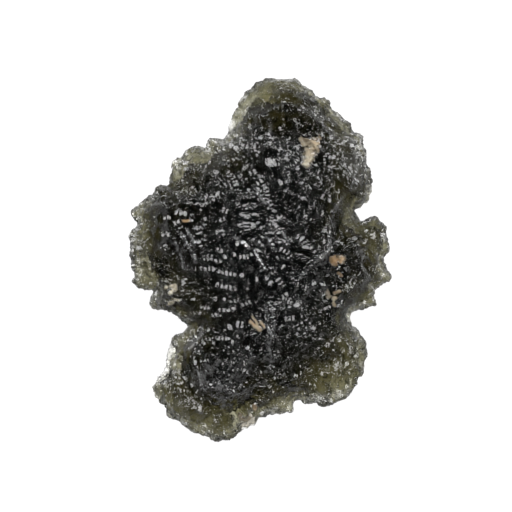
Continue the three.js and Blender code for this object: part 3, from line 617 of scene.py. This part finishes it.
def with_beads(points, normals):
    """Cuts each bead's wall into the top side: a small plane that slopes down towards the crown.

    The second result is 1 inside a bead and 0 away from them.
    """
    points = points.copy()
    polished = np.zeros(len(points))
    random = np.random.default_rng(BEAD_SEED)
    top = np.flatnonzero(normals[:, 2] > TOP_TURN)
    for row in BEAD_ROWS:
        for middle, along, half_length, half_width in beads_of(row):
            tilt = math.radians(random.uniform(*BEAD_TILT))
            lean = random.uniform(-BEAD_LEAN, BEAD_LEAN)
            offset = points[top, :2] - middle
            u = offset @ along / half_length
            v = offset @ np.array([-along[1], along[0]]) / half_width
            r = (u**BEAD_POWER + v**BEAD_POWER) ** (1 / BEAD_POWER)
            near = r < BEAD_EDGE[1]
            if near.sum() < LEAST_BEAD:
                continue
            chosen = top[near]
            share = 1 - smooth_step(*BEAD_EDGE, r[near])
            height = np.average(points[chosen, 2], weights=share + BEAD_SURROUNDS)
            east, north = offset[near].T
            wall = height - math.tan(tilt) * north + lean * east + BEAD_HOLLOW * (r[near] ** 2 - 0.5)
            points[chosen, 2] += share * (wall - points[chosen, 2])
            polished[chosen] = np.maximum(polished[chosen], share)
    return points, polished


def etched_pits(points, kind, seed):
    """Touching round pits: deepest at the middle, and 0 at the crests between them."""
    apart, depth = kind
    return np.clip(1 - (cell_noise(points, apart, seed) / PIT_REACH) ** 2, 0, None) * depth


def etching(points, normals, margin):
    """How far the etched surface stands out from the smooth one."""
    size, bend = ETCH_WARP
    warp = np.stack([value_noise(points, size, 40 + n) for n in range(3)], axis=1) * bend
    p = points + warp
    calm = smooth_step(*CALM, row_distance(points))
    calm = np.where(normals[:, 2] > 0, CALM_SHARE + (1 - CALM_SHARE) * calm, 1.0)
    cut = etched_pits(p, SMALL_PITS, 2) - etched_pits(p, SCOOPS, 1) + ETCH_LIFT
    across, along = SWELL_SIZE
    ground = np.stack([margin / across, points[:, 0] / along, points[:, 1] / along], axis=1)
    swell = value_noise(ground, 1, 9) * SWELL * smooth_step(*SWELL_REACH, margin)
    size, lump = ROUGH_GROUND
    fine = etched_pits(p, MARGIN_PITS, 4) - MARGIN_PITS[1] / 2
    fine = fine * smooth_step(*MARGIN_PITS_REACH, margin)
    return cut * calm + fine + swell + value_noise(points, size, 5) * lump


def from_middle(points, x, y, radius):
    """How far each point is from a round patch's middle, as a share of the patch's radius."""
    return np.hypot(points[:, 0] - x, points[:, 1] - y) / radius


def within(points, patches):
    """1 inside the round patches, and 0 away from them."""
    share = np.zeros(len(points))
    for x, y, radius in patches:
        share = np.maximum(share, smooth_step(*ROUND_EDGE, from_middle(points, x, y, radius)))
    return share


def ridge(points):
    """1 along the ridges' crests, broken here and there, and 0 away from them."""
    crest = np.zeros(len(points))
    size, bend = RIDGE_WANDER
    wander = np.stack([value_noise(points, size, 81), value_noise(points, size, 82)], axis=1) * bend
    size, depth = RIDGE_GAPS
    broken = np.clip(RIDGE_SHARE[1] + depth * value_noise(points, size, 83), RIDGE_SHARE[0], 1)
    for line in RIDGES:
        near, away, _ = near_line(points[:, :2] + wander, np.array(line, float), RIDGE_REACH)
        crest[near] = np.maximum(crest[near], np.exp(-((away / RIDGE_WIDTH) ** 2)) * broken[near])
    return crest


def pinched(points, normals, margin, rim_height):
    """Puts back the rim's width, and thins it unevenly towards its edge."""
    points = points + normals * (RIM_GROWTH * smooth_step(*RIM_GROWTH_REACH, margin))[:, None]
    uneven = 0.5 + 0.5 * np.clip(mottled(points, RIM_MOTTLE, 33), -1, 1)
    thin = within(points, THIN_EDGES)
    pinch = RIM_PINCH * uneven
    pinch = pinch + (THIN_PINCH - pinch) * thin
    reach = RIM_PINCH_REACH[0] + THIN_PINCH_MORE * thin
    keep = 1 - pinch * smooth_step(reach, RIM_PINCH_REACH[1], margin)
    points[:, 2] = rim_height + (points[:, 2] - rim_height) * keep
    return points


def from_outline(points, triangles, places):
    """How far in from the outline each place lies, seen from above, and the outline's height there."""
    edges, index = edges_of(triangles)
    a, b, c = (points[triangles[:, n]] for n in range(3))
    upward = np.cross(b - a, c - a)[:, 2] > 0
    faces_up = np.bincount(index.reshape(-1), np.repeat(upward, 3), len(edges))
    rim = points[np.unique(edges[faces_up == 1])]
    tree = KDTree(len(rim))
    for n, place in enumerate(rim):
        tree.insert((place[0], place[1], 0), n)
    tree.balance()
    found = [tree.find((x, y, 0)) for x, y in places[:, :2]]
    return np.array([away for _, _, away in found]), rim[[n for _, n, _ in found], 2]


def dullness(points, normals, margin):
    """From 0, where the glass is bright, to 1, where it is dull: the margins and a few patches."""
    patchy = mottled(points, DULL_MOTTLE, 21)
    dull = smooth_step(DULL_MARGIN[1], DULL_MARGIN[0], margin + patchy)
    for x, y, radius in DULL_PATCHES:
        away = from_middle(points, x, y, radius) + patchy * DULL_RAGGED
        dull = np.maximum(dull, DULL_PATCH * smooth_step(*WIDE_EDGE, away))
    dull = dull * smooth_step(*DULL_ROWS, row_distance(points))
    return np.where(normals[:, 2] < 0, np.maximum(dull, DULL_UNDER), dull)


def fleck_share(points, normals):
    """The share of the flecks that are there: none along the bead rows, on upright walls or underneath."""
    patchy = mottled(points, FLECK_MOTTLE, 71)
    share = np.clip(FLECK_SHARE[0] + FLECK_SHARE[1] * patchy, 0, FLECK_MOST)
    rows = row_distance(points)
    share = share * smooth_step(*FLECK_ROWS, rows) * smooth_step(*FLECK_CROWN, points[:, 1])
    for x, y, radius, more in FLECK_ZONES:
        share += more * smooth_step(*WIDE_EDGE, from_middle(points, x, y, radius))
    share = share * smooth_step(*FLECK_ZONE_ROWS, rows)
    return share * smooth_step(*FLECK_SIDE, normals[:, 2])


def edge_limits(points, triangles):
    """The longest edge kept at each point: shorter on the top side, and shortest along the bead rows."""
    up = normals_of(points, triangles)[:, 2]
    limits = np.where(up > UNDER_TURN, TOP_EDGE, UNDER_EDGE)
    fine = (row_distance(points) < FINE_REACH) | (ridge(points) > FINE_CREST)
    return np.where((up > 0) & fine, ROW_EDGE, limits)


def hollowed(points, normals):
    """Raises the underside at its hollows."""
    points = points.copy()
    under = smooth_step(*UNDER_SIDE, normals[:, 2])
    for x, y, radius, depth in UNDER_HOLLOWS:
        points[:, 2] += depth * smooth_step(*HOLLOW_EDGE, from_middle(points, x, y, radius)) * under
    return points


def stone_arrays():
    """The stone's points and triangles, and its finish: the values at each point that the glass reads."""
    solid, faces = solid_arrays("moldavite")
    points, triangles = solid, faces
    for _ in range(DIVISIONS):
        points, triangles = divided(points, triangles, edge_limits(points, triangles))
        points = smoothed(points, triangles, SMOOTHING_ROUNDS)
    normals = normals_of(points, triangles)
    margin, rim_height = from_outline(solid, faces, points)
    points = levelled(terraced(points, normals, margin), normals)
    points = hollowed(points, normals)
    crest = ridge(points) * smooth_step(*RIDGE_SIDE, normals[:, 2])
    height = etching(points, normals, margin) + RIDGE_HEIGHT * crest
    points = points + normals * height[:, None]
    points = pinched(points, normals, margin, rim_height)
    points, polished = with_beads(points, normals_of(points, triangles))
    points[:, 2] = np.clip(points[:, 2], cad_low[2] / MM, cad_high[2] / MM)
    thin = within(points, THIN_EDGES)
    finish = {
        "dull": dullness(points, normals, margin),
        "etched": 1 - BEAD_POLISH * polished,
        "inward": margin,
        "crest": crest,
        # where the margin's glass is tinted a darker grey still
        "darker": np.where(margin < DARKER_REACH, within(points, DARKER_PATCHES), 0),
        "thin": thin,
        "clear": np.maximum(thin, CLEAR_SHARE * within(points, CLEAR_PATCHES)),
        "flecked": fleck_share(points, normals_of(points, triangles)),
    }
    return points, triangles, finish


def part_of(points, triangles):
    """Only the points that some triangles use: which they are, and both arrays renumbered."""
    used, triangles = np.unique(triangles, return_inverse=True)
    return used, points[used], triangles.reshape(-1, 3)


def clay_field(points):
    """How deep inside the clay each point lies, below 0 outside it, and how warm its colour is."""
    ragged = mottled(points, CLAY_RAGGED, 61) - CLAY_TRIM
    depth = np.full(len(points), -np.inf)
    warm = np.zeros(len(points))
    for clay in CLAY_SMEARS:
        near, away, _ = near_line(points[:, :2], clay["line"], clay["half"] * 2)
        inside = 1 - (away / clay["half"]) ** 2 + ragged[near]
        deeper = inside > depth[near]
        depth[near[deeper]] = inside[deeper]
        warm[near[deeper]] = clay["warm"]
    return depth, warm


def clay_arrays(points, triangles):
    """Closed thin lenses of clay: a lumpy top a little above the glass, and a floor inside it."""
    upward = normals_of(points, triangles)[:, 2] > 0
    near = upward & (clay_field(points)[0] > CLAY_NEAR)
    _, points, triangles = part_of(points, triangles[near[triangles].any(axis=1)])
    for _ in range(CLAY_DIVISIONS):
        points, triangles = divided(points, triangles, np.full(len(points), CLAY_EDGE))
    depth, warm = clay_field(points)
    used, points, triangles = part_of(points, triangles[(depth[triangles] > CLAY_SKIRT).any(axis=1)])
    depth, warm = depth[used], warm[used]
    normals = normals_of(points, triangles)
    full = smooth_step(0, CLAY_FULL, depth)
    lumps = mottled(points, CLAY_LUMPS, 63)
    lift = (CLAY_THICK + CLAY_SUNK + lumps) * full - CLAY_SUNK
    top = points + normals * lift[:, None]
    floor = points - normals * (CLAY_SUNK + CLAY_THICK)
    ends = np.concatenate([triangles[:, [0, 1]], triangles[:, [1, 2]], triangles[:, [2, 0]]])
    mates = {(a, b) for a, b in ends.tolist()}
    a, b = np.array([(a, b) for a, b in ends.tolist() if (b, a) not in mates]).T
    count = len(points)
    walls = [np.stack([b, a, a + count], axis=1), np.stack([b, a + count, b + count], axis=1)]
    faces = np.concatenate([triangles, triangles[:, ::-1] + count, *walls])
    return np.vstack([top, floor]), faces, {"warm": np.concatenate([warm, warm])}


def mesh_object(name, points, triangles, finish, material):
    """A smooth-shaded object, with each value of its finish as an attribute of its points."""
    mesh = bpy.data.meshes.new(name)
    mesh.from_pydata((points * MM).tolist(), [], triangles.tolist())
    for attribute, values in finish.items():
        mesh.attributes.new(attribute, "FLOAT", "POINT").data.foreach_set("value", values)
    mesh.materials.append(material)
    mesh.shade_smooth()
    piece = bpy.data.objects.new(name, mesh)
    bpy.context.scene.collection.objects.link(piece)
    return piece


# ---- Materials ----


class Nodes:
    """The nodes of a material or of the surroundings, added one at a time with what feeds each one."""

    def __init__(self, data):
        self.data = data
        data.use_nodes = True
        self.tree = data.node_tree

    def feed(self, node, inputs):
        """Sets or links some inputs of a node."""
        for name, value in inputs.items():
            if isinstance(value, bpy.types.NodeSocket):
                self.tree.links.new(value, node.inputs[name])
            else:
                node.inputs[name].default_value = value

    def finish(self, name, inputs):
        """The same for a node that was there from the start."""
        self.feed(self.tree.nodes[name], inputs)

    def add(self, kind, inputs, out, **settings):
        node = self.tree.nodes.new("ShaderNode" + kind)
        for name, value in settings.items():
            setattr(node, name, value)
        self.feed(node, inputs)
        return node.outputs[out]

    def place(self):
        return self.add("TexCoord", {}, "Object")

    def noise(self, scale, detail, out="Fac"):
        """Cloudy noise over the piece, with so many lumps to a metre."""
        return self.add("TexNoise", {"Vector": self.place(), "Scale": scale, "Detail": detail}, out)

    def attribute(self, name):
        return self.add("Attribute", {}, "Fac", attribute_name=name)

    def spread(self, value, low, high, to_low=0.0, to_high=1.0):
        """A value's range between low and high, stretched to another range."""
        ends = {"From Min": low, "From Max": high, "To Min": to_low, "To Max": to_high}
        return self.add("MapRange", {"Value": value, **ends}, "Result", interpolation_type="SMOOTHSTEP")

    def ramp(self, value, places, tones):
        """A colour that runs through the tones, each at its own place between 0 and 1."""
        colour = self.add("ValToRGB", {"Fac": value}, "Color")
        marks = colour.node.color_ramp.elements
        for place in places[1:-1]:
            marks.new(place)
        for mark, tone in zip(marks, tones):
            mark.color = (*tone, 1)
        return colour

    def blend(self, kind, share, a, b):
        """One colour, RGBA, or one vector, VECTOR, turning into another."""
        first, out = {"RGBA": (6, 2), "VECTOR": (4, 1)}[kind]
        return self.add("Mix", {0: share, first: a, first + 1: b}, out, data_type=kind)

    def math(self, operation, *values):
        return self.add("Math", dict(enumerate(values)), "Value", operation=operation)

    def times(self, a, b):
        return self.math("MULTIPLY", a, b)

    def faded(self, value, share, least):
        """A value that falls to its least share as the share given rises to 1."""
        return self.times(value, self.spread(share, 0.0, 1.0, 1.0, least))

    def bump(self, height, depth, **below):
        """Relief so many metres deep, on top of the normal that is given, if any."""
        return self.add("Bump", {"Height": height, "Distance": depth, **below}, "Normal")


def pitted(material, pits, normal, strength):
    """Separate round pits, in several sizes, in a surface that stays smooth between them."""
    place = material.place()
    for count, share, depth in pits:
        cells = {"Vector": place, "Scale": count}
        away = material.add("TexVoronoi", cells, "Distance")
        odds = material.add("SeparateColor", {"Color": away.node.outputs["Color"]}, "Red")
        there = material.math("GREATER_THAN", odds, 1 - share)
        filled = material.spread(away, *PIT_WALL, -1.0, 0.0)
        height = material.times(filled, material.times(there, odds))
        normal = material.bump(height, material.times(strength, depth), Normal=normal)
    return normal


def flecked(material, normal):
    """Scattered small flat walls that slope down towards the crown. The second result is where they are."""
    found = 0.0
    place = material.place()
    noise = material.noise(FLECK_WARP_SCALE, 1.0, "Color")
    warp = {0: noise, 1: (FLECK_WARP, FLECK_WARP, 0.0), 2: place}
    place = material.add("VectorMath", warp, "Vector", operation="MULTIPLY_ADD")
    for count, common in FLECKS:
        cells = {"Vector": place, "Scale": count}
        away = material.add("TexVoronoi", cells, "Distance", voronoi_dimensions="2D")
        odds = material.add("SeparateColor", {"Color": away.node.outputs["Color"]}, "Red").node
        there = material.times(material.attribute("flecked"), common)
        there = material.math("GREATER_THAN", there, odds.outputs["Red"])
        lean = material.spread(odds.outputs["Green"], 0.0, 1.0, -FLECK_LEAN, FLECK_LEAN)
        slope = material.spread(odds.outputs["Blue"], 0.0, 1.0, *FLECK_SLOPE)
        wall = material.add("CombineXYZ", {"X": lean, "Y": slope, "Z": 1.0}, "Vector")
        ends = {"vector_type": "NORMAL", "convert_from": "OBJECT", "convert_to": "WORLD"}
        wall = material.add("VectorTransform", {"Vector": wall}, "Vector", **ends)
        share = material.times(there, material.spread(away, *FLECK_EDGE, 1.0, 0.0))
        turned = material.blend("VECTOR", share, normal, wall)
        normal = material.add("VectorMath", {0: turned}, "Vector", operation="NORMALIZE")
        found = material.math("MAXIMUM", found, share)
    return normal, found


def flow_lines(glass, inward):
    """Lines that run along the margins, from 0 to 1."""
    east, north, _ = glass.add("SeparateXYZ", {"Vector": glass.place()}, "X").node.outputs
    run = {"X": glass.times(inward, 1 / FLOW_WIDTH)}
    run["Y"], run["Z"] = (glass.times(side, 1 / (FLOW_RUN * MM)) for side in (east, north))
    place = glass.add("CombineXYZ", run, "Vector")
    return glass.add("TexNoise", {"Vector": place, "Scale": 1.0, "Detail": 2.0}, "Fac")


def glass_relief(glass, inward, lines, grain):
    """The glass's fine relief as a normal, and where its flecks are."""
    normal = glass.bump(lines, glass.spread(inward, *FLOW_REACH, FLOW_DEPTH, 0.0))
    normal = glass.bump(grain, glass.spread(inward, *GRAIN_REACH, GRAIN_DEPTH, 0.0), Normal=normal)
    normal, fleck = flecked(glass, normal)
    return pitted(glass, GLASS_PITS, normal, glass.attribute("etched")), fleck


def glass_roughness(glass, inward, grain, fleck):
    """Bright in the middle, dull in patches, dullest at the rim, and bright again on the flecks."""
    haze = glass.noise(HAZE_SCALE, 4.0)
    bright = glass.spread(haze, *CLOUDS, *BRIGHT_ROUGHNESS)
    dull = glass.spread(inward, *RIM_REACH, RIM_ROUGHNESS, DULL_ROUGHNESS)
    rough = glass.add("Mix", {"Factor": glass.attribute("dull"), "A": bright, "B": dull}, "Result")
    rough = glass.times(rough, glass.spread(grain, *GRAIN_GLOSS))
    return glass.add("Mix", {"Factor": fleck, "A": rough, "B": FLECK_ROUGHNESS}, "Result")


def see_through(glass, inward, lines, grain):
    """The share of the glass that isn't ground white. The frost follows the flow lines and the ridges."""
    off_line = glass.math("ABSOLUTE", glass.math("SUBTRACT", lines, 0.5))
    fading = glass.spread(inward, 0.0, FROST_REACH, FROST, 0.0)
    streaks = glass.times(fading, glass.spread(off_line, 0.0, FROST_LINE, 1.0, OFF_LINE_FROST))
    ground = glass.math("MULTIPLY_ADD", glass.attribute("crest"), RIDGE_FROST, streaks)
    ground = glass.faded(ground, glass.attribute("clear"), CLEAR_FROST)
    ground = glass.times(ground, glass.spread(grain, *GRAIN_FROST))
    return glass.math("SUBTRACT", 1.0, ground)


def dark_tint(glass, inward, grain):
    """A darker grey tint of the glass: along the outline and on the darker patches, in uneven spots."""
    darkening = glass.math("MAXIMUM", glass.spread(inward, *DARK_TINT_REACH, 1.0, 0.0), glass.attribute("darker"))
    darkening = glass.times(darkening, glass.spread(glass.noise(DARK_TINT_SCALE, 3.0), *DARK_TINT_SPOTS))
    darkening = glass.times(darkening, glass.spread(grain, *GRAIN_DARK_TINT))
    darkening = glass.faded(darkening, glass.attribute("thin"), THIN_DARK_TINT)
    return glass.blend("RGBA", darkening, (1, 1, 1, 1), (*DARK_TINT, 1))


def glass_material():
    glass = Nodes(bpy.data.materials.new("tektite_glass"))
    clear = {"IOR": IOR, "Transmission Weight": 1.0, "Base Color": (1, 1, 1, 1)}
    glass.finish("Principled BSDF", clear)
    inward = glass.attribute("inward")
    lines = flow_lines(glass, inward)
    grain = glass.noise(GRAIN_SCALE, 2.0)
    normal, fleck = glass_relief(glass, inward, lines, grain)
    looks = {
        "Transmission Weight": see_through(glass, inward, lines, grain),
        "Base Color": dark_tint(glass, inward, grain),
        "Roughness": glass_roughness(glass, inward, grain, fleck),
        "Normal": normal,
    }
    glass.finish("Principled BSDF", looks)
    tint = {"Color": (*ABSORB_COLOUR, 1), "Density": ABSORB_DENSITY}
    glass.finish("Material Output", {"Volume": glass.add("VolumeAbsorption", tint, "Volume")})
    return glass.data


def clay_material():
    clay = Nodes(bpy.data.materials.new("clay"))
    mottle = clay.noise(CLAY_MOTTLE_SCALE, 3.0)
    warmth = clay.math("ADD", clay.attribute("warm"), mottle)
    tone = clay.ramp(clay.spread(warmth, *CLAY_WARMTH), CLAY_MARKS, CLAY_TONES)
    normal = clay.bump(clay.noise(CLAY_GRAIN_SCALE, 3.0), CLAY_GRAIN)
    rough = clay.spread(mottle, *CLOUDS, *CLAY_ROUGHNESS)
    clay.finish("Principled BSDF", {"Base Color": tone, "Roughness": rough, "Normal": normal})
    return clay.data


# ---- The table, lights and camera ----


def table():
    material = Nodes(bpy.data.materials.new("white_table"))
    grey = (TABLE_GREY, TABLE_GREY, TABLE_GREY, 1)
    looks = {"Base Color": grey, "Roughness": TABLE_ROUGHNESS, "Specular IOR Level": 0.0}
    glow = {"Emission Color": (1, 1, 1, 1), "Emission Strength": 1.0}
    material.finish("Principled BSDF", {**looks, **glow})
    corners = np.array([(-1, -1, 0), (1, -1, 0), (1, 1, 0), (-1, 1, 0)]) * TABLE_HALF - (0, 0, TABLE_GAP)
    top = mesh_object("table", corners, np.array([(0, 1, 2, 3)]), {}, material.data)


def softbox(name, azimuth, elevation, width, height, radiance):
    """A rectangular light facing the stone."""
    light = bpy.data.lights.new(name, "AREA")
    light.shape = "RECTANGLE"
    light.size = width
    light.size_y = height
    light.energy = radiance * math.pi * width * height
    lamp = bpy.data.objects.new(name, light)
    a = math.radians(azimuth)
    e = math.radians(elevation)
    away = Vector((math.sin(a) * math.cos(e), math.cos(a) * math.cos(e), math.sin(e)))
    lamp.location = away * LAMP_DISTANCE
    lamp.rotation_mode = "QUATERNION"
    lamp.rotation_quaternion = away.to_track_quat("Z", "Y")
    bpy.context.scene.collection.objects.link(lamp)


def studio_walls():
    """Pale walls low down all round, and a dark ceiling."""
    world = Nodes(bpy.data.worlds.new("studio"))
    bpy.context.scene.world = world.data
    place = world.add("TexCoord", {}, "Generated")
    height = world.add("SeparateXYZ", {"Vector": place}, "Z")
    glow = world.spread(height, *WALL_TOP, WALL_GLOW, CEILING_GLOW)
    world.finish("Background", {"Color": (1, 1, 1, 1), "Strength": glow})


def lights():
    studio_walls()
    for box in SOFTBOXES:
        softbox(*box)


def camera():
    data = bpy.data.cameras.new("camera")
    data.lens = LENS
    data.sensor_width = SENSOR
    distance = VIEW_WIDTH * LENS / SENSOR
    data.clip_start = 0.01
    data.clip_end = 10.0
    view = bpy.data.objects.new("camera", data)
    view.location = Vector((*AIM, EDGE_HEIGHT + distance)) * MM
    bpy.context.scene.collection.objects.link(view)
    bpy.context.scene.camera = view


# ---- The scene ----

bpy.context.scene.view_settings.view_transform = "Standard"
camera()
lights()
table()

points, triangles, finish = stone_arrays()
stone = mesh_object("stone", points, triangles, finish, glass_material())
clay = mesh_object("clay", *clay_arrays(points, triangles), clay_material())
for piece in (stone, clay):
    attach(piece, "root")
    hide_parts("moldavite")
